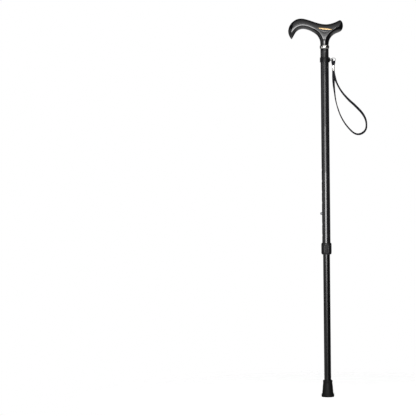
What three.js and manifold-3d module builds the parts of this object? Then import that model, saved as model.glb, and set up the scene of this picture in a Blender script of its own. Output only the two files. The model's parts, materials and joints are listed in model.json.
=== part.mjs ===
// A single-point walking cane: a gloss derby handle on a woven-carbon upper tube, a telescopic
// lower tube with a snap button and a twist lock nut, a rubber tip, and a wrist strap on a ring.
// Millimetres, +Z up. The origin is the centre of the tip's sole, on the shaft's axis.
// The handle's long beak points along -X and the wrist strap hangs on the +X side.
import * as THREE from "three";
import { mergeVertices } from "three/addons/utils/BufferGeometryUtils.js";
import Module from "manifold-3d";

// ---------------------------------------------------------------- driving dimensions
const HEIGHT = 870; // floor to the top of the handle, at the stored setting
const HANDLE_RISE = 66.5; // centre of the chrome collar to the top of the handle
const COLLAR_Z = HEIGHT - HANDLE_RISE;
const COLLAR_HEIGHT = 7;
const COLLAR_RADIUS = 11;
const NECK_RADIUS = 9.5; // the handle's round neck is flush with the upper tube

const UPPER_RADIUS = 9.5;
const UPPER_WALL = 1.3;
const UPPER_BORE = UPPER_RADIUS - UPPER_WALL;
const LOWER_RADIUS = 7.9;
const LOWER_WALL = 1.4;
const LOWER_BORE = LOWER_RADIUS - LOWER_WALL;
const GAP = 0.3; // clearance between neighbouring pieces
const SLIP = 0.2; // radial clearance of pieces that fit closely

const NUT_BOTTOM = 327;
const NUT_HEIGHT = 26.4;
const NUT_RADIUS = 11.8;
const NUT_FLUTES = 18;
const NUT_FLUTE_DEPTH = 0.45;
const SLEEVE_RADIUS = 10.5; // thread crest of the sleeve that the nut turns on

const BUTTON_Z = 421;
const BUTTON_RADIUS = 2.9;
const BUTTON_REACH = 13.3; // from the shaft's axis to the button's dome, when it is out
const HOLE_RADIUS = 3.2;
const HOLE_PITCH = 25;
const HOLES_BELOW = 2; // holes of the row under the one the button is in
const HOLES_ABOVE = 4;
const LOWER_TOP = 455;

const TIP_HEIGHT = 38.4;
const SOLE_RADIUS = 14.3;
const FLANGE_RADIUS = 14.7;
const TIP_FLOOR = 7; // rubber under the steel washer
const WASHER_THICKNESS = 1.2;

const BAND_Z = COLLAR_Z - 29.5;
const BAND_HALF_HEIGHT = 5.4;
const BAND_INNER = UPPER_RADIUS + 0.25;
const BAND_OUTER = 10.9;
const BAND_LAP_OUTER = 12.1; // the slotted end lies over the band and makes it double
const BAND_LAP_ANGLE = THREE.MathUtils.degToRad(38);
const TONGUE_HALF_HEIGHT = 2.7;
const TONGUE_THICKNESS = 0.8;
const TONGUE_END = 19.6;
const EYELET_X = 14.6;
const EYELET_RADIUS = 2.1;

const RING_RADIUS = 5.3; // centre of the wire
const RING_WIRE = 0.6;
const RING_TILT = THREE.MathUtils.degToRad(60); // of the ring's own axis, from upright
const RING_X = EYELET_X + RING_RADIUS;

const EYE_Y = -RING_RADIUS * Math.cos(RING_TILT); // the lowest point of the ring's wire
const EYE_Z = BAND_Z - RING_RADIUS * Math.sin(RING_TILT);
const EYE_HOLE = 1.5;
const EYE_OUTER = 2.2;
const EYE_HALF_WIDTH = 2.4;
const STEM_HALF_WIDTH = 2.3; // of the folded webbing inside the ferrule
const STEM_HALF_THICKNESS = 1.45;
const FERRULE_TOP = BAND_Z - 13.4;
const FERRULE_HEIGHT = 11.7;
const FERRULE_HALF_X = 3.2;
const FERRULE_HALF_Y = 2.5;
const FERRULE_CORNER = 1.7;
const FERRULE_WALL = 0.5;
const TAPE_WIDTH = 5.8;
const TAPE_THICKNESS = 1.9;
const TAPE_CORNER = 0.55;

const ROUND = 32; // sides of the shaft's round pieces

// ---------------------------------------------------------------- materials
const finish = (color, roughness, metalness = 0) =>
  new THREE.MeshStandardMaterial({ color, roughness, metalness });
const MATERIALS = {
  lacquer: finish(0x070708, 0.06),
  carbon: finish(0x15161a, 0.12, 0.2),
  lowerTube: finish(0x101013, 0.3, 0.3),
  chrome: finish(0xd8d6d0, 0.07, 1),
  steel: finish(0xa8a8a6, 0.3, 1),
  aluminium: finish(0xb5b7ba, 0.35, 1),
  nylon: finish(0x141416, 0.5),
  whiteNylon: finish(0xd9d8d2, 0.5),
  rubber: finish(0x0d0d0e, 0.75),
  strapRubber: finish(0x121214, 0.55),
  webbing: finish(0x0b0b10, 0.9),
};

// ---------------------------------------------------------------- helpers
const wasm = await Module();
wasm.setup();

// A closed geometry as a solid that manifold-3d can join and cut.
function solid(geometry) {
  const bare = geometry.clone();
  bare.deleteAttribute("normal");
  bare.deleteAttribute("uv");
  const merged = mergeVertices(bare, 1e-3);
  return new wasm.Manifold(
    new wasm.Mesh({
      numProp: 3,
      vertProperties: merged.attributes.position.array,
      triVerts: new Uint32Array(merged.index.array),
    }),
  );
}

// A solid back as a three.js geometry.
function geometryOf(body) {
  const { vertProperties, triVerts } = body.getMesh();
  const geometry = new THREE.BufferGeometry();
  geometry.setAttribute("position", new THREE.BufferAttribute(new Float32Array(vertProperties), 3));
  geometry.setIndex(new THREE.BufferAttribute(new Uint32Array(triVerts), 1));
  geometry.computeVertexNormals();
  return geometry;
}

// A profile of [radius, z] points, counter-clockwise, turned about the Z axis.
function turned(profile, sides = ROUND) {
  const points = profile.map(([r, z]) => new THREE.Vector2(r, z));
  const closesOnAxis = profile[0][0] === 0 && profile.at(-1)[0] === 0;
  if (!closesOnAxis) points.push(points[0].clone());
  return new THREE.LatheGeometry(points, sides).rotateX(Math.PI / 2);
}

function tube(inner, outer, bottom, top, sides = ROUND) {
  return turned([[inner, bottom], [outer, bottom], [outer, top], [inner, top]], sides);
}

function disc(radius, bottom, top, sides = ROUND) {
  return turned([[0, bottom], [radius, bottom], [radius, top], [0, top]], sides);
}

function box(width, depth, height, x, y, z) {
  return new THREE.BoxGeometry(width, depth, height).translate(x, y, z);
}

// An outline in the X-Z plane, extruded to a thickness centred on y = 0.
function plateXZ(shape, thickness) {
  const plate = new THREE.ExtrudeGeometry(shape, { depth: thickness, bevelEnabled: false });
  return plate.translate(0, 0, -thickness / 2).rotateX(Math.PI / 2);
}

// Rings of equal length joined in order, with a flat cap at each end.
function lofted(rings) {
  const count = rings[0].length;
  const positions = rings.flat().flatMap((p) => [p.x, p.y, p.z]);
  const faces = [];
  for (let i = 0; i + 1 < rings.length; i += 1) {
    for (let j = 0; j < count; j += 1) {
      const a = i * count + j;
      const b = i * count + ((j + 1) % count);
      faces.push(a, b, b + count, a, b + count, a + count);
    }
  }
  const last = (rings.length - 1) * count;
  for (let j = 1; j + 1 < count; j += 1) {
    faces.push(0, j + 1, j, last, last + j, last + j + 1);
  }
  const geometry = new THREE.BufferGeometry();
  geometry.setAttribute("position", new THREE.Float32BufferAttribute(positions, 3));
  geometry.setIndex(faces);
  return geometry;
}

// ---------------------------------------------------------------- handle
// Stations along the grip, from the beak's point to the rear end: the top edge and the under edge
// in the X-Z plane, measured from the collar's centre, and half the grip's thickness.
const GRIP_STATIONS = [
  { top: [-76.1, 20.0], under: [-75.0, 20.2], half: 1.4 },
  { top: [-80.2, 25.6], under: [-71.3, 25.4], half: 5.2 },
  { top: [-83.0, 37.0], under: [-66.0, 34.0], half: 8.4 },
  { top: [-80.8, 48.0], under: [-61.3, 38.8], half: 10.2 },
  { top: [-72.5, 59.3], under: [-55.8, 41.5], half: 11.4 },
  { top: [-55.5, 66.5], under: [-48.9, 42.4], half: 12.0 },
  { top: [-33.5, 61.9], under: [-37.5, 40.0], half: 12.2 },
  { top: [-15.0, 55.2], under: [-21.5, 31.5], half: 12.3 },
  { top: [4.0, 52.2], under: [0.0, 26.0], half: 12.3 },
  { top: [23.0, 55.6], under: [20.0, 27.6], half: 12.0 },
  { top: [36.0, 61.2], under: [33.0, 33.6], half: 11.2 },
  { top: [41.4, 55.5], under: [40.8, 39.6], half: 8.2 },
  { top: [42.8, 50.2], under: [42.8, 47.2], half: 2.2 },
];
// The neck's left and right edges and half its thickness, at heights above the collar's centre.
const NECK_STATIONS = [
  { z: GAP, left: -NECK_RADIUS, right: NECK_RADIUS, half: NECK_RADIUS },
  { z: 7, left: -NECK_RADIUS, right: 9.7, half: 9.5 },
  { z: 12.5, left: -9.9, right: 10.6, half: 9.7 },
  { z: 17, left: -11.1, right: 11.9, half: 10.2 },
  { z: 21.4, left: -13.0, right: 14.5, half: 10.9 },
  { z: 26, left: -15.8, right: 18.6, half: 11.5 },
  { z: 30.4, left: -20.0, right: 25.4, half: 11.9 },
  { z: 36, left: -22.0, right: 26.0, half: 11.6 },
];
const STUD_RADIUS = 4;
const STUD_BORE = STUD_RADIUS + GAP;
const STUD_RISE = 27;

// A station's ring: a slightly squared ellipse across the grip, in the plane of its two edges and Y.
function gripRing(top, under, half, sides = 16) {
  const squareness = 0.88;
  const swell = (t) => Math.sign(t) * Math.abs(t) ** squareness;
  const centre = top.clone().add(under).multiplyScalar(0.5);
  const arm = top.clone().sub(under).multiplyScalar(0.5);
  return Array.from({ length: sides }, (_, i) => {
    const angle = (2 * Math.PI * i) / sides;
    const along = swell(Math.cos(angle));
    const across = -half * swell(Math.sin(angle));
    return new THREE.Vector3(centre.x + arm.x * along, across, centre.y + arm.y * along);
  });
}

function smoothRings(tops, unders, halves, count) {
  const curve = (points) => new THREE.CatmullRomCurve3(points, false, "centripetal");
  const top = curve(tops);
  const under = curve(unders);
  const half = curve(halves.map((h, i) => new THREE.Vector3(i, h, 0)));
  return Array.from({ length: count }, (_, i) => {
    const t = i / (count - 1);
    const [a, b] = [top.getPoint(t), under.getPoint(t)];
    return gripRing(new THREE.Vector2(a.x, a.z), new THREE.Vector2(b.x, b.z), half.getPoint(t).y);
  });
}

function handle() {
  const edge = ([x, z]) => new THREE.Vector3(x, 0, z);
  const grip = lofted(
    smoothRings(
      GRIP_STATIONS.map((s) => edge(s.top)),
      GRIP_STATIONS.map((s) => edge(s.under)),
      GRIP_STATIONS.map((s) => s.half),
      2 * GRIP_STATIONS.length + 5,
    ),
  );
  const neck = lofted(
    NECK_STATIONS.map(({ z, left, right, half }) =>
      Array.from({ length: 24 }, (_, i) => {
        const angle = (2 * Math.PI * i) / 24;
        const x = (left + right) / 2 + ((right - left) / 2) * Math.cos(angle);
        return new THREE.Vector3(x, half * Math.sin(angle), z);
      }),
    ),
  );
  const bore = disc(STUD_BORE, -1, STUD_RISE + GAP, 24);
  const body = solid(neck).add(solid(grip)).subtract(solid(bore));
  return geometryOf(body).translate(0, 0, COLLAR_Z);
}

// ---------------------------------------------------------------- joint between handle and shaft
function handleCollar() {
  const half = COLLAR_HEIGHT / 2;
  const inner = UPPER_RADIUS + GAP;
  const edge = 10.2; // where the rounded face starts
  return turned([
    [inner, COLLAR_Z - half],
    [edge, COLLAR_Z - half],
    [10.75, COLLAR_Z - half + 0.7],
    [COLLAR_RADIUS, COLLAR_Z - 1.2],
    [COLLAR_RADIUS, COLLAR_Z + 1.2],
    [10.75, COLLAR_Z + half - 0.7],
    [edge, COLLAR_Z + half],
    [inner, COLLAR_Z + half],
  ]);
}

const SHIM_THICKNESS = 0.6;
const UPPER_TOP = COLLAR_Z - SHIM_THICKNESS - GAP;
const PLUG_LENGTH = 42;
const STUD_DROP = 30;

function shaftPlug() {
  const top = UPPER_TOP;
  return tube(STUD_BORE, UPPER_BORE - SLIP, top - PLUG_LENGTH, top, 32);
}

function handleStud() {
  return disc(STUD_RADIUS, COLLAR_Z - STUD_DROP, COLLAR_Z + STUD_RISE, 24);
}

function collarShim() {
  const top = COLLAR_Z;
  return tube(STUD_BORE, NECK_RADIUS - SLIP, top - SHIM_THICKNESS, top, 32);
}

// ---------------------------------------------------------------- upper tube
const UPPER_BOTTOM = NUT_BOTTOM + 13.3;

function crossHole(z, fromX, toX) {
  const drill = new THREE.CylinderGeometry(HOLE_RADIUS, HOLE_RADIUS, toX - fromX, 20);
  return drill.rotateZ(Math.PI / 2).translate((fromX + toX) / 2, 0, z);
}

function upperTube() {
  let body = solid(tube(UPPER_BORE, UPPER_RADIUS, UPPER_BOTTOM, UPPER_TOP));
  for (let i = -HOLES_BELOW; i <= HOLES_ABOVE; i += 1) {
    body = body.subtract(solid(crossHole(BUTTON_Z + i * HOLE_PITCH, -UPPER_RADIUS - 1, 0)));
  }
  return geometryOf(body);
}

// ---------------------------------------------------------------- twist lock at the tube's end
const SLEEVE_BOTTOM = NUT_BOTTOM + 5;
const SLEEVE_TOP = NUT_BOTTOM + NUT_HEIGHT - 0.2;
const COLLET_BOTTOM = NUT_BOTTOM + 2.6;
const COLLET_TOP = UPPER_BOTTOM - GAP - 0.4;
const COLLET_SLIT = 1.6;
const THRUST_BOTTOM = NUT_BOTTOM + 1.3;
const THRUST_THICKNESS = 1;
const LIP_RADIUS = 8.4; // of the nut's lower mouth and the thrust ring's hole

function threadedSleeve() {
  const seat = UPPER_RADIUS + SLIP;
  return turned([
    [9.6, SLEEVE_BOTTOM],
    [SLEEVE_RADIUS, SLEEVE_BOTTOM],
    [SLEEVE_RADIUS, SLEEVE_TOP],
    [seat, SLEEVE_TOP],
    [seat, UPPER_BOTTOM - GAP],
    [9.0, UPPER_BOTTOM - GAP],
  ]);
}

function collet() {
  const bore = LOWER_RADIUS + SLIP;
  const ring = turned([
    [bore, COLLET_BOTTOM],
    [10.3, COLLET_BOTTOM],
    [10.3, COLLET_BOTTOM + 1.2],
    [9.3, COLLET_BOTTOM + 1.2],
    [8.75, COLLET_TOP],
    [bore, COLLET_TOP],
  ]);
  const middle = (COLLET_BOTTOM + COLLET_TOP) / 2;
  const slit = box(6, COLLET_SLIT, 20, UPPER_RADIUS, 0, middle);
  return geometryOf(solid(ring).subtract(solid(slit)));
}

function thrustRing() {
  return tube(LIP_RADIUS, SLEEVE_RADIUS, THRUST_BOTTOM, THRUST_BOTTOM + THRUST_THICKNESS, 32);
}

function flutedOutline(radius, flutes, depth) {
  const steps = flutes * 3;
  const points = Array.from({ length: steps }, (_, i) => {
    const angle = (2 * Math.PI * i) / steps;
    const r = radius - (depth / 2) * (1 - Math.cos(flutes * angle));
    return new THREE.Vector2(r * Math.cos(angle), r * Math.sin(angle));
  });
  return new THREE.Shape(points);
}

function lockNut() {
  const top = NUT_BOTTOM + NUT_HEIGHT;
  const depth = NUT_HEIGHT;
  const shape = flutedOutline(NUT_RADIUS, NUT_FLUTES, NUT_FLUTE_DEPTH);
  const grip = new THREE.ExtrudeGeometry(shape, { depth, bevelEnabled: false });
  grip.translate(0, 0, NUT_BOTTOM);
  // The plain turned body rounds off the ends of the flutes.
  const body = turned(
    [
      [0, NUT_BOTTOM],
      [10.3, NUT_BOTTOM],
      [11.4, NUT_BOTTOM + 1.6],
      [NUT_RADIUS + 0.1, NUT_BOTTOM + 4],
      [NUT_RADIUS + 0.1, top - 4],
      [11.7, top - 2],
      [11.2, top],
      [0, top],
    ],
    48,
  );
  const bore = turned(
    [
      [0, NUT_BOTTOM - 1],
      [LIP_RADIUS, NUT_BOTTOM - 1],
      [LIP_RADIUS, NUT_BOTTOM + 1],
      [SLEEVE_RADIUS + GAP, NUT_BOTTOM + 1],
      [SLEEVE_RADIUS + GAP, top + 1],
      [0, top + 1],
    ],
    48,
  );
  return geometryOf(solid(grip).intersect(solid(body)).subtract(solid(bore)));
}

// ---------------------------------------------------------------- lower tube
const LOWER_BOTTOM = TIP_FLOOR + WASHER_THICKNESS + 2 * GAP;

function lowerTube() {
  const body = solid(tube(LOWER_BORE, LOWER_RADIUS, LOWER_BOTTOM, LOWER_TOP));
  return geometryOf(body.subtract(solid(crossHole(BUTTON_Z, -LOWER_RADIUS - 1, 0))));
}

const O_RING_GROOVE = 7.1;

function guideBush() {
  const flange = UPPER_BORE - SLIP;
  const base = LOWER_TOP + GAP;
  return turned(
    [
      [3, base - 12],
      [LOWER_BORE - SLIP, base - 12],
      [LOWER_BORE - SLIP, base],
      [flange, base],
      [flange, base + 2],
      [O_RING_GROOVE, base + 2],
      [O_RING_GROOVE, base + 4],
      [flange, base + 4],
      [flange, base + 6],
      [3, base + 7],
    ],
    32,
  );
}

function guideORing() {
  const ring = new THREE.TorusGeometry(7.65, 0.4, 6, 28);
  return ring.translate(0, 0, LOWER_TOP + GAP + 3);
}

function lowerPlug() {
  return tube(2.5, LOWER_BORE - SLIP, LOWER_BOTTOM, LOWER_BOTTOM + 14, 28);
}

// ---------------------------------------------------------------- snap button and its spring
const BUTTON_HEAD = 4.4; // the flange behind the button, measured from the shaft's axis
const SPRING_THICKNESS = 0.5;
const SPRING_WIDTH = 5;

function snapButton() {
  const dome = BUTTON_REACH - 2.1;
  const flange = [
    [0, BUTTON_HEAD],
    [3.6, BUTTON_HEAD],
    [3.6, BUTTON_HEAD + 0.8],
    [BUTTON_RADIUS, BUTTON_HEAD + 0.8],
  ];
  const cap = Array.from({ length: 5 }, (_, i) => {
    const angle = (Math.PI / 2) * (i / 4);
    const radius = i === 4 ? 0 : BUTTON_RADIUS * Math.cos(angle);
    return [radius, dome + 2.1 * Math.sin(angle)];
  });
  return turned([...flange, ...cap], 16).rotateY(-Math.PI / 2).translate(0, 0, BUTTON_Z);
}

// A bent strip: one arm behind the button, one on the far side of the bore, joined by a bend below.
function buttonSpring() {
  const near = -BUTTON_HEAD + GAP;
  const far = Math.sqrt((LOWER_BORE - SLIP) ** 2 - (SPRING_WIDTH / 2) ** 2);
  const bendZ = BUTTON_Z - 34;
  const bend = 2.6;
  const top = BUTTON_Z + 5;
  const shape = new THREE.Shape();
  shape.moveTo(near, top);
  shape.lineTo(-bend, bendZ);
  shape.absarc(0, bendZ, bend, Math.PI, 2 * Math.PI, false);
  shape.lineTo(far, top + 6);
  shape.lineTo(far - SPRING_THICKNESS, top + 6);
  shape.lineTo(bend - SPRING_THICKNESS, bendZ);
  shape.absarc(0, bendZ, bend - SPRING_THICKNESS, 2 * Math.PI, Math.PI, true);
  shape.lineTo(near + SPRING_THICKNESS, top);
  const options = { depth: SPRING_WIDTH, bevelEnabled: false, curveSegments: 6 };
  const strip = new THREE.ExtrudeGeometry(shape, options);
  return strip.translate(0, 0, -SPRING_WIDTH / 2).rotateX(Math.PI / 2);
}

// ---------------------------------------------------------------- rubber tip
function rubberTip() {
  const bore = LOWER_RADIUS + SLIP;
  const grooves = [
    [5.5, 7.2],
    [9.0, 10.7],
  ]; // inner and outer radius of each tread groove in the sole
  const depth = 1.3;
  const sole = grooves.flatMap(([a, b]) => [
    [a, 0],
    [a, depth],
    [b, depth],
    [b, 0],
  ]);
  return turned([
    [0, 0],
    ...sole,
    [SOLE_RADIUS - 0.6, 0],
    [SOLE_RADIUS, 0.8],
    [FLANGE_RADIUS, 2.6],
    [FLANGE_RADIUS, 5.6],
    [FLANGE_RADIUS - 0.7, 7.2],
    [12.9, 8.4],
    [12.4, 14],
    [11.3, 26],
    [10.5, 33],
    [10.9, 34.2],
    [10.9, TIP_HEIGHT - 0.8],
    [10.3, TIP_HEIGHT],
    [bore, TIP_HEIGHT],
    [bore, TIP_FLOOR],
    [0, TIP_FLOOR],
  ]);
}

function tipWasher() {
  const bottom = TIP_FLOOR + GAP;
  return disc(LOWER_RADIUS - SLIP, bottom, bottom + WASHER_THICKNESS, 28);
}

// ---------------------------------------------------------------- wrist strap
function strapBand() {
  const height = 2 * BAND_HALF_HEIGHT;
  const band = tube(BAND_INNER, BAND_OUTER, -BAND_HALF_HEIGHT, BAND_HALF_HEIGHT);
  // The slotted end lies over the band on the +X side.
  const lap = new THREE.Shape();
  lap.absarc(0, 0, BAND_LAP_OUTER, -BAND_LAP_ANGLE, BAND_LAP_ANGLE, false);
  lap.absarc(0, 0, BAND_OUTER - SLIP, BAND_LAP_ANGLE, -BAND_LAP_ANGLE, true);
  const options = { depth: height, bevelEnabled: false, curveSegments: 10 };
  const lapped = new THREE.ExtrudeGeometry(lap, options).translate(0, 0, -BAND_HALF_HEIGHT);
  // The narrow end comes out through the slot as a tongue with an eyelet.
  const h = TONGUE_HALF_HEIGHT;
  const tongue = new THREE.Shape();
  tongue.moveTo(BAND_OUTER, h);
  tongue.lineTo(BAND_OUTER, -h);
  tongue.absarc(TONGUE_END - h, 0, h, -Math.PI / 2, Math.PI / 2, false);
  tongue.holes.push(new THREE.Path().absarc(EYELET_X, 0, EYELET_RADIUS, 0, 2 * Math.PI, true));
  const body = solid(band).add(solid(lapped)).add(solid(plateXZ(tongue, TONGUE_THICKNESS)));
  return geometryOf(body).translate(0, 0, BAND_Z);
}

function strapRing() {
  const ring = new THREE.TorusGeometry(RING_RADIUS, RING_WIRE, 8, 28);
  return ring.rotateX(RING_TILT).translate(RING_X, 0, BAND_Z);
}

// The webbing folded over the ring: a wide fold round the wire that narrows into the ferrule.
function strapEye() {
  const bottom = FERRULE_TOP - FERRULE_HEIGHT + 1 - EYE_Z;
  const side = new THREE.Shape();
  const start = Math.asin(STEM_HALF_THICKNESS / EYE_OUTER);
  side.absarc(0, 0, EYE_OUTER, start - Math.PI / 2, 1.5 * Math.PI - start, false);
  side.lineTo(-STEM_HALF_THICKNESS, bottom);
  side.lineTo(STEM_HALF_THICKNESS, bottom);
  side.holes.push(new THREE.Path().absarc(0, 0, EYE_HOLE, 0, 2 * Math.PI, true));
  const options = { depth: 2 * EYE_HALF_WIDTH, bevelEnabled: false, curveSegments: 10 };
  const fold = new THREE.ExtrudeGeometry(side, options).translate(0, 0, -EYE_HALF_WIDTH);
  fold.rotateX(Math.PI / 2).rotateZ(Math.PI / 2);

  const front = new THREE.Shape();
  front.moveTo(-EYE_HALF_WIDTH, EYE_OUTER + 1);
  front.lineTo(-EYE_HALF_WIDTH, -EYE_OUTER);
  front.lineTo(-STEM_HALF_WIDTH, FERRULE_TOP - EYE_Z + 0.5);
  front.lineTo(-STEM_HALF_WIDTH, bottom - 1);
  front.lineTo(STEM_HALF_WIDTH, bottom - 1);
  front.lineTo(STEM_HALF_WIDTH, FERRULE_TOP - EYE_Z + 0.5);
  front.lineTo(EYE_HALF_WIDTH, -EYE_OUTER);
  front.lineTo(EYE_HALF_WIDTH, EYE_OUTER + 1);
  const eye = solid(fold).intersect(solid(plateXZ(front, 4 * EYE_OUTER)));
  return geometryOf(eye).translate(RING_X, EYE_Y, EYE_Z);
}

// A rectangle with rounded corners, drawn into a shape or a hole's path.
function roundedRectangle(path, halfX, halfY, radius) {
  const [x, y] = [halfX - radius, halfY - radius];
  path.absarc(x, y, radius, 0, Math.PI / 2, false);
  path.absarc(-x, y, radius, Math.PI / 2, Math.PI, false);
  path.absarc(-x, -y, radius, Math.PI, 1.5 * Math.PI, false);
  path.absarc(x, -y, radius, 1.5 * Math.PI, 2 * Math.PI, false);
  return path;
}

function crimpFerrule() {
  const [x, y, r, wall] = [FERRULE_HALF_X, FERRULE_HALF_Y, FERRULE_CORNER, FERRULE_WALL];
  const outline = roundedRectangle(new THREE.Shape(), x, y, r);
  outline.holes.push(roundedRectangle(new THREE.Path(), x - wall, y - wall, r - wall));
  const options = { depth: FERRULE_HEIGHT, bevelEnabled: false, curveSegments: 5 };
  const ferrule = new THREE.ExtrudeGeometry(outline, options);
  return ferrule.translate(RING_X, EYE_Y, FERRULE_TOP - FERRULE_HEIGHT);
}

// The loop's route, down one leg and up the other, as [x, y from the ferrule's centre, z, turn].
// The turn is the angle in degrees between the tape's width and the Y axis: 0 is edge-on from the
// front, and 90 is flat to it. It goes from one side of edge-on to the other in the first leg,
// because both ends lie flat in the ferrule with the same face outwards.
const LOOP_TOP = FERRULE_TOP - FERRULE_HEIGHT - GAP;
const LOOP_ROUTE = [
  [19.9, -1.12, LOOP_TOP, 85],
  [19.9, -1.12, LOOP_TOP - 3, 84],
  [19.7, -1.15, 737, 80],
  [19.8, -1.15, 727, 66],
  [20.3, -1.1, 717, 48],
  [22.1, -0.9, 698.7, 20],
  [24.6, -0.5, 680.2, 8],
  [29.3, 0, 661.8, -10],
  [36.2, 0, 643.3, -14],
  [47.0, 0, 624.7, -20],
  [62.1, 0, 607.7, -28],
  [71.2, 0, 602.5, -34],
  [80.4, 0, 602.8, -44],
  [88.3, 0, 607.4, -44],
  [93.1, 0, 614.8, -34],
  [94.1, 0, 624.0, -26],
  [93.0, 0, 633.2, -32],
  [89.5, 0, 642.4, -42],
  [83.6, 0, 651.7, -52],
  [75.3, 0, 661.0, -56],
  [66.0, 0, 670.4, -56],
  [56.0, 0.1, 679.7, -48],
  [47.2, 0.3, 689.1, -38],
  [39.7, 0.5, 698.4, -30],
  [33.7, 0.7, 707.7, -24],
  [28.9, 0.9, 717, -24],
  [25.1, 1.1, 726.2, -36],
  [21.9, 1.12, 737, -70],
  [20.3, 1.12, LOOP_TOP - 3, -84],
  [20.1, 1.12, LOOP_TOP, -85],
];
const LOOP_STEPS = 2 * (LOOP_ROUTE.length - 1);

// The ring of the tape's section at one point of its route.
function tapeRing(point, tangent, turn) {
  const inward = new THREE.Vector3(-tangent.z, 0, tangent.x).normalize();
  const across = inward.multiplyScalar(Math.sin(turn)).add(new THREE.Vector3(0, -Math.cos(turn), 0));
  across.addScaledVector(tangent, -across.dot(tangent)).normalize();
  const through = new THREE.Vector3().crossVectors(tangent, across);
  const [w, t, cut] = [TAPE_WIDTH / 2, TAPE_THICKNESS / 2, TAPE_CORNER];
  const corners = [
    [w, cut - t],
    [w, t - cut],
    [w - cut, t],
    [cut - w, t],
    [-w, t - cut],
    [-w, cut - t],
    [cut - w, -t],
    [w - cut, -t],
  ];
  return corners.map(([a, b]) => point.clone().addScaledVector(across, a).addScaledVector(through, b));
}

function wristLoop() {
  const through = (points) => new THREE.CatmullRomCurve3(points, false, "centripetal");
  const route = through(LOOP_ROUTE.map(([x, y, z]) => new THREE.Vector3(x, EYE_Y + y, z)));
  const turns = new THREE.SplineCurve(LOOP_ROUTE.map((p, i) => new THREE.Vector2(i, p[3])));
  const rings = Array.from({ length: LOOP_STEPS + 1 }, (_, i) => {
    const t = i / LOOP_STEPS;
    const turn = THREE.MathUtils.degToRad(turns.getPoint(t).y);
    return tapeRing(route.getPoint(t), route.getTangent(t), turn);
  });
  return lofted(rings);
}

// ---------------------------------------------------------------- assembly
const cane = new THREE.Group();

function place(name, geometry, material) {
  const mesh = new THREE.Mesh(geometry, material);
  mesh.name = name;
  cane.add(mesh);
}

place("handle", handle(), MATERIALS.lacquer);
place("handle_collar", handleCollar(), MATERIALS.chrome);
place("handle_stud", handleStud(), MATERIALS.steel);
place("collar_shim", collarShim(), MATERIALS.whiteNylon);
place("shaft_plug", shaftPlug(), MATERIALS.aluminium);
place("upper_tube", upperTube(), MATERIALS.carbon);
place("threaded_sleeve", threadedSleeve(), MATERIALS.nylon);
place("collet", collet(), MATERIALS.whiteNylon);
place("thrust_ring", thrustRing(), MATERIALS.steel);
place("lock_nut", lockNut(), MATERIALS.nylon);
place("lower_tube", lowerTube(), MATERIALS.lowerTube);
place("guide_bush", guideBush(), MATERIALS.whiteNylon);
place("guide_o_ring", guideORing(), MATERIALS.rubber);
place("snap_button", snapButton(), MATERIALS.chrome);
place("button_spring", buttonSpring(), MATERIALS.steel);
place("lower_plug", lowerPlug(), MATERIALS.nylon);
place("tip_washer", tipWasher(), MATERIALS.steel);
place("rubber_tip", rubberTip(), MATERIALS.rubber);
place("strap_band", strapBand(), MATERIALS.strapRubber);
place("strap_ring", strapRing(), MATERIALS.chrome);
place("strap_eye", strapEye(), MATERIALS.webbing);
place("crimp_ferrule", crimpFerrule(), MATERIALS.chrome);
place("wrist_loop", wristLoop(), MATERIALS.webbing);

export default cane;
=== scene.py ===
"""The looks of the single point cane, in Blender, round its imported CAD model.

Lengths in this script are millimetres, as in the CAD source, and MM turns them into metres.
Heights called "above the collar" are measured from the middle of the chrome collar.
"""

import json
import math

import bmesh
import bpy
import numpy as np
from mathutils import Matrix, Vector


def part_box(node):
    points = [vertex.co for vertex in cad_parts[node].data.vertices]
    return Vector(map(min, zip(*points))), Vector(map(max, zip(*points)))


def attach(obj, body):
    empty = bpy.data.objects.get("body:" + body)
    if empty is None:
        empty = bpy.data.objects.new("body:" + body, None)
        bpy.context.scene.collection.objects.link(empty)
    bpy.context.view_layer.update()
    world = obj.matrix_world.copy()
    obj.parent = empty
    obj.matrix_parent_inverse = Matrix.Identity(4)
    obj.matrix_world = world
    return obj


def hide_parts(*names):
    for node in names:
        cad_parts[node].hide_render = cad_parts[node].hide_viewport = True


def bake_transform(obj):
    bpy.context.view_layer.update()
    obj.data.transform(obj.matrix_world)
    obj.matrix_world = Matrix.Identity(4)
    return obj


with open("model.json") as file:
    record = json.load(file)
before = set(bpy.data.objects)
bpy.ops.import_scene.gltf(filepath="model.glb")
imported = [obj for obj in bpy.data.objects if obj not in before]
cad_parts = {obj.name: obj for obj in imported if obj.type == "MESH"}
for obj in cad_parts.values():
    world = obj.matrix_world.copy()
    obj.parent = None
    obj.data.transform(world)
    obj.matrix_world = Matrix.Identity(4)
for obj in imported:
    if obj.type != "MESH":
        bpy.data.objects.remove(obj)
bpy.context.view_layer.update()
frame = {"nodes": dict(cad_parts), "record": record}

MM = 0.001
TAU = 2 * math.pi
MATERIALS = {}  # by name, filled by new_material


def span(node):
    """The lowest and highest corners of a CAD node, in millimetres."""
    low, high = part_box(node)
    return np.array(low) / MM, np.array(high) / MM


def heights(node):
    """The lowest and highest point of a CAD node."""
    return [float(corner[2]) for corner in span(node)]


def show(name, data):
    """A new object in the scene."""
    made = bpy.data.objects.new(name, data)
    bpy.context.scene.collection.objects.link(made)
    return made


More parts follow.
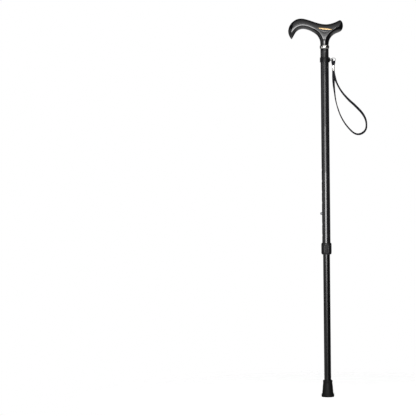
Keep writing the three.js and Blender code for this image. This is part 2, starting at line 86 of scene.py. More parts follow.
# ---------------------------------------------------------------- sizes, from the frame
COLLAR_Z = sum(heights("handle_collar")) / 2
BAND_Z = sum(heights("strap_band")) / 2
TUBE_RADIUS = 9.5
UPPER_BORE = 8.2
LOWER_RADIUS = 7.9
LOWER_BORE = 6.5
RING_RADIUS = 5.3
RING_TILT = math.radians(60)
EYELET_X = 14.6
FERRULE_LOW, FERRULE_HIGH = span("crimp_ferrule")
FERRULE_X, FERRULE_Y = ((FERRULE_LOW + FERRULE_HIGH) / 2)[:2]
LOOP_TOP = heights("wrist_loop")[1]
BUTTON_Z = sum(heights("snap_button")) / 2
HOLE_PITCH = 25
HOLE_RADIUS = 3.2
DRILL_DEPTH = 8


# ---------------------------------------------------------------- camera, light and floor
def make_camera():
    """A level camera in front of the cane, panned so that the cane stands right of the middle."""
    data = bpy.data.cameras.new("camera")
    data.sensor_width = 36
    data.lens = 131.8
    data.clip_start = 0.05
    distance, side_step, height, roll_degrees = 3.5, 0.2713, 0.4363, -0.56
    camera = show("camera", data)
    camera.location = (0, -math.hypot(distance, side_step), height)
    level = Matrix.Rotation(math.radians(90), 4, "X")
    pan = Matrix.Rotation(math.atan2(side_step, distance), 4, "Z")
    roll = Matrix.Rotation(math.radians(roll_degrees), 4, "Z")
    camera.rotation_euler = (pan @ level @ roll).to_euler()
    bpy.context.scene.camera = camera


def make_softbox(name, place, target, size, watts):
    """A rectangular studio light in metres, facing target, that the camera itself doesn't see."""
    data = bpy.data.lights.new(name, "AREA")
    data.shape = "RECTANGLE"
    data.size, data.size_y = size
    data.energy = watts
    light = show(name, data)
    light.location = place
    light.rotation_euler = (Vector(place) - Vector(target)).to_track_quat("Z", "Y").to_euler()
    light.visible_camera = False


def make_glowing_box(name, place, target, width, depth, glow):
    """A softbox of a given radiance, whatever its size."""
    make_softbox(name, place, target, (width, depth), glow * math.pi * width * depth)


def make_arch_light(name, low, high, width, glow):
    """A softbox seen from the handle between two elevations in degrees, in front of it or above."""
    x, height, reach = 0.15, 0.86, 1.7
    middle, half = math.radians((low + high) / 2), math.radians((high - low) / 2)
    place = (x, -reach * math.cos(middle), height + reach * math.sin(middle))
    make_glowing_box(name, place, (x, 0, height), width, 2 * reach * math.tan(half), glow)


def make_world():
    """White to the camera; to the object a room that is pale behind it and below it, and dim in front."""
    world = bpy.data.worlds.new("studio")
    world.use_nodes = True
    tree = world.node_tree
    tree.nodes.clear()
    direction = add_node(tree, "TexCoord").outputs["Generated"]
    split = add_node(tree, "SeparateXYZ", Vector=direction)
    back, up = (math_node(tree, "MULTIPLY_ADD", split.outputs[axis], 0.5, 0.5) for axis in "YZ")
    behind = ramp(tree, back, [(0.0, 0.025), (0.68, 0.025), (0.88, 0.12), (0.97, 0.35)])
    below = ramp(tree, up, [(0.0, 1.1), (0.14, 0.85), (0.26, 0.0)])
    room = add_node(tree, "Background", Color=math_node(tree, "ADD", behind, below))
    paper = add_node(tree, "Background", Color=(1, 1, 1, 1))
    mix = add_node(tree, "MixShader", Fac=add_node(tree, "LightPath").outputs["Is Camera Ray"])
    for shader, socket in ((room, mix.inputs[1]), (paper, mix.inputs[2])):
        tree.links.new(shader.outputs[0], socket)
    add_node(tree, "OutputWorld", Surface=mix.outputs[0])
    bpy.context.scene.world = world


def make_floor():
    """A pale round floor that fades out into the white round about."""
    mesh = bpy.data.meshes.new("floor")
    table = bmesh.new()
    bmesh.ops.create_circle(table, cap_ends=True, segments=96, radius=0.6)
    table.to_mesh(mesh)
    table.free()
    floor = show("floor", mesh)
    tree, shader = new_material(
        "floor_paper", Base_Color=(0.9, 0.9, 0.9, 1), Roughness=0.7, Emission_Color=(1, 1, 1, 1),
        Emission_Strength=0.7,
    )
    place = add_node(tree, "TexCoord").outputs["Object"]
    length = add_node(tree, "VectorMath", Vector=place)
    length.operation = "LENGTH"
    fade = ramp(tree, length.outputs["Value"], [(0.18, 1.0), (0.58, 0.0)])
    tree.links.new(fade, shader.inputs["Alpha"])
    mesh.materials.append(MATERIALS["floor_paper"])
    floor.visible_glossy = False
    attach(floor, "lower_shaft")  # the tip stands on the floor at every height


def make_studio():
    """The room, the floor, and the lights that the gloss of the cane mirrors."""
    bpy.context.scene.view_settings.view_transform = "Standard"
    make_world()
    make_floor()
    # The grip mirrors an arch of lights that fade from the front towards overhead, and a bright edge.
    # Each has its lowest and highest elevation in degrees, its width in metres and its radiance.
    arch = (("edge", 5.2, 6.2, 1.6, 8.0), ("front", 6.2, 22, 2.2, 1.25), ("brow", 22, 44, 3.0, 0.9),
            ("crown", 44, 70, 3.6, 0.55), ("back", 70, 94, 3.6, 0.22))
    for name, low, high, width, glow in arch:
        make_arch_light(name, low, high, width, glow)
    # The shaft mirrors a tall panel, brightest in the middle and fading towards the floor.
    # Each part has its lowest and highest point in metres and its radiance.
    panel = (("collar", 0.87, 1.0, 1.5), ("top", 0.70, 0.87, 3.0), ("high", 0.55, 0.70, 6.0),
             ("mid", 0.27, 0.55, 11.5), ("low", 0.15, 0.27, 3.2), ("shin", 0.03, 0.15, 1.3),
             ("foot", -0.2, 0.03, 0.5))
    panel_x, panel_y, panel_width = -0.17, -1.5, 1.0
    for name, low, high, glow in panel:
        z = (low + high) / 2
        make_glowing_box(f"panel_{name}", (panel_x, panel_y, z), (panel_x, 0, z), panel_width, high - low, glow)
    # Its bright borders draw the thin lines that run up both sides of the grip's neck.
    for name, x in (("left", -0.75), ("right", 0.4)):
        make_softbox(f"border_{name}", (x, panel_y, 0.78), (x, 0, 0.78), (0.05, 0.44), 0.5)
    make_softbox("left_wall", (-1.8, -0.7, 0.4), (0, 0, 0.4), (1.6, 1.6), 5.0)


# ---------------------------------------------------------------- shader nodes
def link(tree, value, socket):
    """Joins an output to an input, or sets the input to a plain value."""
    if isinstance(value, bpy.types.NodeSocket):
        tree.links.new(value, socket)
    else:
        socket.default_value = value


def add_node(tree, kind, **inputs):
    """A node with those inputs joined or set."""
    node = tree.nodes.new("ShaderNode" + kind)
    for name, value in inputs.items():
        link(tree, value, node.inputs[name.replace("_", " ")])
    return node


def math_node(tree, operation, *values):
    """A Math node's output, from outputs or plain numbers."""
    node = add_node(tree, "Math")
    node.operation = operation
    for value, socket in zip(values, node.inputs):
        link(tree, value, socket)
    return node.outputs[0]


def ramp(tree, value, stops):
    """The greys of (position, grey) stops, looked up by value."""
    node = add_node(tree, "ValToRGB", Fac=value)
    elements = node.color_ramp.elements
    while len(elements) < len(stops):
        elements.new(0.5)
    for element, (position, grey) in zip(elements, stops):
        element.position = position
        element.color = (grey, grey, grey, 1)
    return node.outputs["Color"]


def object_place(tree, stretch=(1, 1, 1)):
    """Object coordinates in millimetres, scaled by stretch."""
    scale = add_node(tree, "VectorMath", Vector=add_node(tree, "TexCoord").outputs["Object"])
    scale.operation = "MULTIPLY"
    scale.inputs[1].default_value = [s / MM for s in stretch]
    return scale.outputs[0]


def noise(tree, where, scale, detail=3.0, roughness=0.55):
    """Noise from 0 to 1. scale is in cycles per millimetre."""
    node = add_node(tree, "TexNoise", Scale=scale, Detail=detail, Roughness=roughness, Vector=where)
    return node.outputs["Fac"]


def remap(tree, value, low, high, out_low, out_high):
    """Eases value from out_low at low to out_high at high."""
    node = add_node(tree, "MapRange", Value=value, From_Min=low, From_Max=high, To_Min=out_low, To_Max=out_high)
    node.interpolation_type = "SMOOTHSTEP"
    return node.outputs["Result"]


def mix_colour(tree, factor, first, second):
    """Blends two colours, each a tuple or an output."""
    node = add_node(tree, "Mix")
    node.data_type = "RGBA"
    link(tree, factor, node.inputs["Factor"])
    for colour, socket in ((first, node.inputs[6]), (second, node.inputs[7])):
        link(tree, (*colour, 1) if isinstance(colour, tuple) else colour, socket)
    return node.outputs[2]


def bump(tree, shader, height, depth_mm, strength=1.0):
    """Raises the surface by up to depth_mm where height is 1."""
    node = add_node(tree, "Bump", Distance=depth_mm * MM, Strength=strength, Height=height)
    tree.links.new(node.outputs[0], shader.inputs["Normal"])


def new_material(name, metallic=0.0, **sockets):
    """The tree and the shader of a new material, which MATERIALS lists. Even values are set on sockets."""
    material = bpy.data.materials.new(name)
    material.use_nodes = True
    shader = material.node_tree.nodes["Principled BSDF"]
    shader.inputs["Metallic"].default_value = metallic
    for socket, value in sockets.items():
        shader.inputs[socket.replace("_", " ")].default_value = value
    MATERIALS[name] = material
    return material.node_tree, shader


def paint(tree, shader, tone, roughness):
    """Joins the base colour and the roughness to the shader."""
    tree.links.new(tone, shader.inputs["Base Color"])
    tree.links.new(roughness, shader.inputs["Roughness"])


# ---------------------------------------------------------------- materials
def lacquer():
    """Black gloss lacquer: a hard clear coat with a faint ripple, and dust-fine wear in its polish."""
    tree, shader = new_material("handle_lacquer", Coat_Weight=1.0, Coat_Roughness=0.05, Specular_IOR_Level=0.15)
    where = object_place(tree)
    cloud = noise(tree, where, 0.06, 2.0)
    tone = mix_colour(tree, cloud, (0.0022, 0.0022, 0.0026), (0.0050, 0.0050, 0.0058))
    paint(tree, shader, tone, remap(tree, noise(tree, where, 0.35, 6.0), 0.3, 0.75, 0.05, 0.13))
    bump(tree, shader, noise(tree, where, 0.12, 1.0), 0.05, 0.25)


def chrome():
    """Polished chrome plate with soft wipe marks in its gloss."""
    tree, shader = new_material("polished_chrome", metallic=1.0)
    where = object_place(tree)
    tone = mix_colour(tree, noise(tree, where, 0.2), (0.72, 0.70, 0.66), (0.83, 0.81, 0.78))
    wipes = noise(tree, object_place(tree, (1, 1, 6)), 0.8, 5.0)
    paint(tree, shader, tone, remap(tree, wipes, 0.3, 0.8, 0.03, 0.13))
    bump(tree, shader, noise(tree, where, 1.2, 2.0), 0.002, 0.25)


def brushed(name, dark, light, rough):
    """Turned or plated metal with fine lines round its axis."""
    tree, shader = new_material(name, metallic=1.0)
    lines = noise(tree, object_place(tree, (0.15, 0.15, 9)), 1.4, 6.0, 0.7)
    gloss = remap(tree, lines, 0.25, 0.75, rough - 0.08, rough + 0.12)
    paint(tree, shader, mix_colour(tree, lines, dark, light), gloss)
    bump(tree, shader, lines, 0.012, 0.5)


def moulded(name, dark, light, rough, grain_mm=0.5, depth=0.03, gloss=0.5):
    """Moulded plastic or rubber: a fine grain, slow changes of tone and a duller sheen in patches."""
    tree, shader = new_material(name, Specular_IOR_Level=gloss)
    where = object_place(tree)
    tone = mix_colour(tree, noise(tree, where, 0.09, 4.0), dark, light)
    patches = remap(tree, noise(tree, where, 0.5, 5.0), 0.3, 0.7, rough - 0.09, rough + 0.09)
    paint(tree, shader, tone, patches)
    bump(tree, shader, noise(tree, where, 1 / grain_mm, 3.0, 0.6), depth, 0.6)


def round_the_shaft(tree, radius):
    """(distance round the tube, height) in millimetres."""
    split = add_node(tree, "SeparateXYZ", Vector=object_place(tree))
    angle = math_node(tree, "ARCTAN2", split.outputs["Y"], split.outputs["X"])
    return math_node(tree, "MULTIPLY", angle, radius), split.outputs["Z"]


def carbon(tow=1.99, row_height=2.1):
    """Plain-woven carbon tows of about 2 mm under a clear gloss coat. 30 tows go round the tube."""
    tree, shader = new_material("carbon_weave", Coat_Weight=1.0, Coat_Roughness=0.03, Specular_IOR_Level=0.12)
    around, up = round_the_shaft(tree, TUBE_RADIUS)
    column = math_node(tree, "DIVIDE", around, tow)
    row = math_node(tree, "DIVIDE", up, row_height)
    parity = math_node(tree, "ADD", math_node(tree, "FLOOR", column), math_node(tree, "FLOOR", row))
    over = math_node(tree, "PINGPONG", parity, 1.0)
    across = [math_node(tree, "FRACT", c) for c in (column, row)]
    # Each tow bulges in the middle of its crossing, and its fibres run along it.
    bulges = [math_node(tree, "SINE", math_node(tree, "MULTIPLY", f, math.pi)) for f in across]
    lone = math_node(tree, "MULTIPLY", *bulges)
    fibre_up = noise(tree, object_place(tree, (6, 6, 0.4)), 1.0, 3.0)
    fibre_round = noise(tree, object_place(tree, (0.4, 0.4, 6)), 1.0, 3.0)
    under = math_node(tree, "SUBTRACT", 1.0, over)
    fibre_round = math_node(tree, "MULTIPLY", fibre_round, under)
    fibre = math_node(tree, "MULTIPLY_ADD", fibre_up, over, fibre_round)
    # The over tows are painted lighter than the under tows. This is a painted sheen that stands in for the weave
    # catching the light along its fibres.
    light = mix_colour(tree, fibre, (0.012, 0.012, 0.013), (0.040, 0.040, 0.043))
    dark = mix_colour(tree, fibre, (0.003, 0.003, 0.0035), (0.013, 0.013, 0.014))
    weave_with_painted_sheen = mix_colour(tree, over, dark, light)
    # Each tow is painted darker towards its edges, where it dips under its neighbours. This is painted shade in the
    # valleys of the weave.
    painted_valley_shade = remap(tree, lone, 0.0, 0.55, 0.0, 1.0)
    tone = mix_colour(tree, painted_valley_shade, (0.002, 0.002, 0.002), weave_with_painted_sheen)
    sheen = math_node(tree, "MULTIPLY_ADD", over, -0.12, 0.42)
    uneven = math_node(tree, "MULTIPLY_ADD", noise(tree, object_place(tree), 0.2), 0.1, -0.05)
    paint(tree, shader, tone, math_node(tree, "ADD", sheen, uneven))
    height = math_node(tree, "MULTIPLY_ADD", fibre, 0.25, lone)
    bump(tree, shader, height, 0.09, 0.7)


def anodised():
    """Black anodised aluminium: drawn lines along the tube and faint rubbed rings."""
    tree, shader = new_material("anodised_tube", metallic=0.35, Coat_Weight=0.35, Coat_Roughness=0.12)
    drawn = noise(tree, object_place(tree, (3, 3, 0.03)), 1.2, 4.0)
    rubbed = noise(tree, object_place(tree, (0.1, 0.1, 1.5)), 1.0, 5.0, 0.7)
    tone = mix_colour(tree, drawn, (0.003, 0.003, 0.0033), (0.008, 0.008, 0.0085))
    worn = math_node(tree, "MULTIPLY", drawn, rubbed)
    paint(tree, shader, tone, remap(tree, worn, 0.1, 0.45, 0.22, 0.36))
    bump(tree, shader, worn, 0.01, 0.4)


def braid():
    """Near-black nylon yarn with a dry sheen and paler broken filaments."""
    tree, shader = new_material("strap_webbing", Sheen_Weight=0.04, Sheen_Roughness=0.45, Specular_IOR_Level=0.3)
    where = object_place(tree)
    yarn = noise(tree, where, 4.0, 5.0, 0.7)
    tone = mix_colour(tree, yarn, (0.0015, 0.0015, 0.003), (0.008, 0.008, 0.014))
    fluff = remap(tree, noise(tree, where, 9.0, 2.0), 0.68, 0.82, 0.0, 0.16)
    tone = mix_colour(tree, fluff, tone, (0.09, 0.09, 0.11))
    paint(tree, shader, tone, remap(tree, yarn, 0.2, 0.8, 0.72, 0.95))
    bump(tree, shader, yarn, 0.12, 0.8)


lacquer()
chrome()
# The ring's metal is painted near black. This is painted shade that stands in for the dark room its thin wire mirrors.
brushed("dark_nickel", (0.022, 0.021, 0.02), (0.05, 0.048, 0.044), 0.26)
brushed("zinc_steel", (0.36, 0.36, 0.35), (0.60, 0.60, 0.57), 0.32)
moulded("white_nylon", (0.60, 0.58, 0.53), (0.74, 0.73, 0.69), 0.45)
brushed("bare_aluminium", (0.48, 0.49, 0.50), (0.68, 0.69, 0.70), 0.34)
carbon()
moulded("black_nylon", (0.005, 0.005, 0.006), (0.012, 0.012, 0.013), 0.42, 0.35, 0.03, 0.35)
anodised()
brushed("button_steel", (0.12, 0.12, 0.13), (0.26, 0.26, 0.28), 0.34)
moulded("black_rubber", (0.002, 0.002, 0.002), (0.006, 0.006, 0.006), 0.55, 0.6, 0.05, 0.2)
moulded("band_rubber", (0.003, 0.003, 0.0035), (0.008, 0.008, 0.009), 0.42, 0.25, 0.02, 0.25)
braid()
brushed("gilt", (0.42, 0.28, 0.13), (0.66, 0.48, 0.26), 0.3)


# ---------------------------------------------------------------- mesh helpers
def new_mesh(name, vertices, faces):
    """A mesh from vertices in millimetres."""
    mesh = bpy.data.meshes.new(name)
    mesh.from_pydata((np.asarray(vertices, float) * MM).tolist(), [], [list(map(int, f)) for f in faces])
    return mesh


def add_piece(name, vertices, faces, body, slot, node=None, material=None, sharp=35, normals=None):
    """A mesh object in place of a CAD node, from vertices in millimetres, riding on a CAD body."""
    mesh = new_mesh(name, vertices, faces)
    face_outwards(mesh)
    return finish_piece(name, mesh, body, slot, node, material, sharp, normals)


def face_outwards(mesh):
    """Turns every face of a closed mesh outwards."""
    work = bmesh.new()
    work.from_mesh(mesh)
    bmesh.ops.recalc_face_normals(work, faces=work.faces)
    work.to_mesh(mesh)
    work.free()


def shade(mesh, material, sharp):
    """Gives the mesh its material, smooth but for edges sharper than that many degrees."""
    mesh.materials.clear()
    mesh.materials.append(MATERIALS[material])
    mesh.shade_smooth()
    mesh.set_sharp_from_angle(angle=math.radians(sharp))


def finish_piece(name, mesh, body, slot, node=None, material=None, sharp=35, normals=None):
    """The piece made of mesh, shaded, in its slot and on its body, in place of the node if one is given."""
    shade(mesh, material or slot, sharp)
    if normals is not None:
        mesh.normals_split_custom_set_from_vertices(normals)
    piece = show(name, mesh)
    if body:
        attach(piece, body)
    if node:
        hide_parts(node)
    return piece


def rounded(profile, radius, steps=3, closed=False):
    """A profile with its inner corners replaced by arcs of up to that radius."""
    points = [np.array(p, float) for p in profile]
    count = len(points)
    out = []
    for i, corner in enumerate(points):
        if not closed and i in (0, count - 1):
            out.append(corner)
            continue
        before, after = points[i - 1] - corner, points[(i + 1) % count] - corner
        reach = min(radius, 0.45 * np.linalg.norm(before), 0.45 * np.linalg.norm(after))
        start = corner + before / np.linalg.norm(before) * reach
        end = corner + after / np.linalg.norm(after) * reach
        for k in range(steps + 1):
            t = k / steps
            out.append((1 - t) ** 2 * start + 2 * t * (1 - t) * corner + t**2 * end)
    return out


def grid_faces(rows, columns, wrap_rows, wrap_columns):
    """Quads over a grid of vertices numbered row by row."""
    faces = []
    for i in range(rows if wrap_rows else rows - 1):
        for j in range(columns if wrap_columns else columns - 1):
            a, b = i * columns + j, i * columns + (j + 1) % columns
            below = ((i + 1) % rows) * columns
            faces.append((a, b, below + (j + 1) % columns, below + j))
    return faces


def turned(profile, sides=96, radius_at=None):
    """A profile of (radius, z), counter-clockwise, turned round the Z axis into a closed mesh.
    radius_at(radius, z, angle) may change the radius, as for ribs."""
    on_axis = profile[0][0] < 1e-6 and profile[-1][0] < 1e-6
    inner = profile[1:-1] if on_axis else profile
    angles = [TAU * j / sides for j in range(sides)]
    change = radius_at or (lambda r, z, angle: r)
    vertices = [
        (change(r, z, a) * math.cos(a), change(r, z, a) * math.sin(a), z) for r, z in inner for a in angles
    ]
    faces = grid_faces(len(inner), sides, not on_axis, True)
    if on_axis:
        for (_, z), row, flip in ((profile[0], 0, True), (profile[-1], len(inner) - 1, False)):
            vertices.append((0, 0, z))
            for j in range(sides):
                a, b = row * sides + j, row * sides + (j + 1) % sides
                faces.append((b, a, len(vertices) - 1) if flip else (a, b, len(vertices) - 1))
    return vertices, faces


def lofted(rings):
    """Rings of equal length, each counter-clockwise about the way ahead, with a cap at each end."""
    count = len(rings[0])
    vertices = [p for ring in rings for p in ring]
    faces = grid_faces(len(rings), count, False, True)
    last = (len(rings) - 1) * count
    faces.append(tuple(reversed(range(count))))
    faces.append(tuple(range(last, last + count)))
    return vertices, faces


def closed_rings(rings):
    """Rings joined into a closed tube, the last to the first."""
    return [p for ring in rings for p in ring], grid_faces(len(rings), len(rings[0]), True, True)


def smooth_path(points, step, alpha=0.5):
    """Points every step or so along a centripetal Catmull-Rom curve. Any number of columns."""
    p = np.array(points, float)
    p = np.vstack([2 * p[0] - p[1], p, 2 * p[-1] - p[-2]])
    out = []
    for i in range(1, len(p) - 2):
        p0, p1, p2, p3 = p[i - 1 : i + 3]
        knots = np.cumsum([0] + [np.linalg.norm((b - a)[:3]) ** alpha for a, b in ((p0, p1), (p1, p2), (p2, p3))])
        t0, t1, t2, t3 = knots
        count = max(2, int(round(np.linalg.norm((p2 - p1)[:3]) / step)))
        for t in np.linspace(t1, t2, count, endpoint=False):
            a1 = (t1 - t) / (t1 - t0) * p0 + (t - t0) / (t1 - t0) * p1
            a2 = (t2 - t) / (t2 - t1) * p1 + (t - t1) / (t2 - t1) * p2
            a3 = (t3 - t) / (t3 - t2) * p2 + (t - t2) / (t3 - t2) * p3
            b1 = (t2 - t) / (t2 - t0) * a1 + (t - t0) / (t2 - t0) * a2
            b2 = (t3 - t) / (t3 - t1) * a2 + (t - t1) / (t3 - t1) * a3
            out.append((t2 - t) / (t2 - t1) * b1 + (t - t1) / (t2 - t1) * b2)
    out.append(p[-2])
    return np.array(out)


def directions(path):
    """The unit vector ahead at each point."""
    ahead = np.gradient(path, axis=0)
    return ahead / np.linalg.norm(ahead, axis=1, keepdims=True)


def distances(path):
    """How far along the path each point lies."""
    return np.concatenate([[0], np.cumsum(np.linalg.norm(np.diff(path, axis=0), axis=1))])


def evenly(path, places):
    """The path's points at those distances along it."""
    travelled = distances(path)
    return np.stack([np.interp(places, travelled, column) for column in path.T], axis=1)


def tape_rings(path, across, half_width, half_thickness, sides, relief=None):
    """Sections of a flat tape along path. across is its width's direction at each point.
    relief(distance, sideways, face) raises the surface by so many millimetres."""
    ahead = directions(path)
    across = across - ahead * np.sum(across * ahead, axis=1, keepdims=True)
    across /= np.linalg.norm(across, axis=1, keepdims=True)
    through = np.cross(ahead, across)
    widths = np.broadcast_to(half_width, len(path))
    thick = np.broadcast_to(half_thickness, len(path))
    travelled = distances(path)
    angles = np.arange(sides) * TAU / sides
    flat = np.sign(np.cos(angles)) * np.abs(np.cos(angles)) ** 0.8
    crown = np.sign(np.sin(angles)) * np.abs(np.sin(angles)) ** 0.5
    rings = []
    for i, point in enumerate(path):
        rise = relief(travelled[i], flat, np.sign(crown)) if relief else 0
        u = flat * widths[i]
        v = crown * thick[i] + np.sign(crown) * np.abs(crown) * rise
        rings.append(point + u[:, None] * across[i] + v[:, None] * through[i])
    return rings


# ---------------------------------------------------------------- wrist strap
# The loop's route, as in the CAD source, but with 2 mm more of each end inside the ferrule:
# (x, y from the ferrule's centre, z, turn of the tape in degrees).
LOOP_ROUTE = [
    (19.9, -1.12, LOOP_TOP + 2, 85), (19.9, -1.12, LOOP_TOP - 3, 84), (19.7, -1.15, 737, 80),
    (19.8, -1.15, 727, 66), (20.3, -1.1, 717, 48), (22.1, -0.9, 698.7, 20),
    (24.6, -0.5, 680.2, 8), (29.3, 0, 661.8, -10), (36.2, 0, 643.3, -14),
    (47.0, 0, 624.7, -20), (62.1, 0, 607.7, -28), (71.2, 0, 602.5, -34),
    (80.4, 0, 602.8, -44), (88.3, 0, 607.4, -44), (93.1, 0, 614.8, -34),
    (94.1, 0, 624.0, -26), (93.0, 0, 633.2, -32), (89.5, 0, 642.4, -42),
    (83.6, 0, 651.7, -52), (75.3, 0, 661.0, -56), (66.0, 0, 670.4, -56),
    (56.0, 0.1, 679.7, -48), (47.2, 0.3, 689.1, -38), (39.7, 0.5, 698.4, -30),
    (33.7, 0.7, 707.7, -24), (28.9, 0.9, 717, -24), (25.1, 1.1, 726.2, -36),
    (21.9, 1.12, 737, -70), (20.3, 1.12, LOOP_TOP - 3, -84), (20.1, 1.12, LOOP_TOP + 2, -85),
]
TAPE_WIDTH = 5.8
TAPE_THICKNESS = 2.2  # over the yarn's ridges, and a little more than the CAD's 1.9
BRAID_PITCH = 2.2
BRAID_RIDGE = 0.2  # from the bottom to the top of a yarn
BRAID_SUNK = 0.06


def braid_relief(travelled, sideways, face):
    """Chevrons of yarn that meet on the tape's middle line."""
    phase = (travelled + face * np.abs(sideways) * TAPE_WIDTH / 2) / BRAID_PITCH
    ridge = np.abs(np.sin(math.pi * phase)) ** 0.7
    middle = np.clip(np.abs(sideways) / 0.12, 0, 1)
    return BRAID_RIDGE * ridge * middle - BRAID_SUNK


def make_wrist_loop():
    """The flat braided cord, from the ferrule round the loop and back into the ferrule."""
    route = smooth_path([(x, FERRULE_Y + y, z, turn) for x, y, z, turn in LOOP_ROUTE], 0.4)
    path, turn = route[:, :3], np.radians(route[:, 3])
    ahead = directions(path)
    inward = np.stack([-ahead[:, 2], 0 * turn, ahead[:, 0]], axis=1)
    inward /= np.linalg.norm(inward, axis=1, keepdims=True)
    across = inward * np.sin(turn)[:, None] + np.array([0, -1, 0]) * np.cos(turn)[:, None]
    # The ferrule squeezes the tape, from 7 mm below its mouth to 2 mm below it.
    squeeze = 0.32 * np.clip((path[:, 2] - LOOP_TOP + 7) / 5, 0, 1)
    half_thickness = TAPE_THICKNESS / 2 - squeeze
    rings = tape_rings(path, across, TAPE_WIDTH / 2, half_thickness, 24, braid_relief)
    loop = add_piece("braided_loop", *lofted(rings), "strap", "strap_webbing", "wrist_loop", sharp=180)


def make_strap_eye():
    """The webbing folded over the ring: up in front, over the wire, down behind and into the ferrule."""
    wire_y = -RING_RADIUS * math.cos(RING_TILT)
    wire_z = BAND_Z - RING_RADIUS * math.sin(RING_TILT)
    centre_x = EYELET_X + RING_RADIUS
    bend, half_thickness = 1.35, 0.55
    low, mouth = FERRULE_LOW[2] + 1, FERRULE_HIGH[2]
    side = [(-0.75, low), (-0.75, mouth - 1), (-0.95, mouth + 1.5), (-1.5, wire_z - 3.5), (-bend, wire_z - 0.6)]
    arch = [(-bend * math.cos(a), wire_z + bend * math.sin(a)) for a in np.linspace(0.1, math.pi - 0.1, 7)]
    outline = side + arch + [(-y, z) for y, z in reversed(side)]
    path = smooth_path([(centre_x, wire_y + y, z) for y, z in outline], 0.35)
    height = np.clip((path[:, 2] - mouth) / (wire_z - mouth - 1), 0, 1)
    half_width = 2.35 + 2.25 * np.sin(height * math.pi / 2) ** 0.8
    across = np.tile(np.array([1.0, 0, 0]), (len(path), 1))
    rings = tape_rings(path, across, half_width, half_thickness, 20, braid_relief)
    vertices, faces = lofted(rings)
    vertices = np.array(vertices)
    # The fold sits in the curve of the ring, so its edges stand a little higher than its middle.
    lift = np.clip((vertices[:, 2] - mouth) / (wire_z - mouth), 0, 1.2) ** 2
    offset = vertices[:, 0] - centre_x
    vertices[:, 2] += lift * 0.045 * offset**2
    vertices[:, 1] += lift * 0.01 * offset**2
    add_piece("webbing_eye", vertices, faces, "strap", "strap_webbing", "strap_eye", sharp=180)


def squircle(half_x, half_y, power=2.7, steps=40):
    """Points of a rounded oblong with slightly convex sides, counter-clockwise."""
    angles = np.arange(steps) * TAU / steps
    x, y = np.cos(angles), np.sin(angles)
    return np.stack([half_x * np.sign(x) * abs(x) ** (2 / power), half_y * np.sign(y) * abs(y) ** (2 / power)], axis=1)


def make_ferrule():
    """A chrome crimp with a rolled rim at each end."""
    low, high = FERRULE_LOW[2], FERRULE_HIGH[2]
    half_x, half_y = (FERRULE_HIGH - FERRULE_LOW)[:2] / 2
    wall = 0.45
    outside = [(low, -0.25), (low + 0.12, -0.06), (low + 0.35, 0.0), (low + 0.9, 0.0), (low + 1.15, -0.12)]
    inside = [(high, -wall), (low, -wall)]
    rings = []
    for z, inset in outside + [(low + high - z, i) for z, i in reversed(outside)] + inside:
        section = squircle(half_x + inset, half_y + inset)
        rings.append([(FERRULE_X + x, FERRULE_Y + y, z) for x, y in section])
    add_piece("crimp", *closed_rings(rings), "strap", "polished_chrome", "crimp_ferrule", sharp=50)


def make_ring():
    """A bent wire ring whose two ends all but meet, at the side away from the eyelet."""
    wire, sides, steps, gap = 0.46, 16, 96, 0.06
    rings = []
    for i in range(steps + 1):
        turn = gap / 2 + (TAU - gap) * i / steps
        out = np.array([math.cos(turn), math.sin(turn) * math.cos(RING_TILT), math.sin(turn) * math.sin(RING_TILT)])
        axle = np.array([0, -math.sin(RING_TILT), math.cos(RING_TILT)])
        centre = np.array([EYELET_X + RING_RADIUS, 0, BAND_Z]) + RING_RADIUS * out
        angles = [TAU * k / sides for k in range(sides)]
        rings.append([centre + wire * (math.cos(a) * axle + math.sin(a) * out) for a in angles])
    # The ring's metal is painted near black: a painted shade for the dark surroundings it mirrors.
    add_piece("split_ring", *lofted(rings), "ring", "polished_chrome", "strap_ring", "dark_nickel", sharp=50)


def arc_block(inner, outer, half_height, half_angle, steps=24, radius=0.35):
    """A block of rounded section bent round the shaft on its +X side."""
    corners = [(outer, -half_height), (outer, half_height), (inner, half_height), (inner, -half_height)]
    section = rounded(corners, radius, closed=True)
    rings = []
    for i in range(steps + 1):
        angle = -half_angle + 2 * half_angle * i / steps
        rings.append([(r * math.cos(angle), r * math.sin(angle), BAND_Z + z) for r, z in reversed(section)])
    return lofted(rings)


def join(*parts):
    """Several (vertices, faces) as one."""
    vertices, faces = [], []
    for points, polygons in parts:
        faces += [tuple(i + len(vertices) for i in f) for f in polygons]
        vertices += list(points)
    return vertices, faces


def make_tongue():
    """The band's narrow end: a flat tongue with an eyelet and all its edges rounded."""
    low, high, half, thick, bevel, hole = 11.3, 19.6, 2.65, 0.32, 0.12, 1.5
    corner = 0.9
    centres = [(high - corner, half - corner), (low + corner, half - corner)]
    outline = []
    for i, (x, z) in enumerate(centres + [(x, -z) for x, z in reversed(centres)]):
        outline += [(x + corner * math.cos(a), z + corner * math.sin(a))
                    for a in np.linspace(i, i + 1, 7) * math.pi / 2]
    outline = np.array(outline + outline[:1])
    even = np.linspace(0, distances(outline)[-1], 96, endpoint=False)
    rings = []
    for x, z in evenly(outline, even):
        out = np.array([x - EYELET_X, z])
        reach = np.linalg.norm(out)
        out /= reach
        radii = [hole, hole + bevel, (hole + reach) / 2, reach - bevel, reach]
        heights = [thick - bevel, thick, thick, thick, thick - bevel]
        section = list(zip(radii, heights)) + [(r, -h) for r, h in zip(radii[::-1], heights[::-1])]
        rings.append([(EYELET_X + out[0] * r, y, BAND_Z + out[1] * r) for r, y in section])
    return closed_rings(rings)


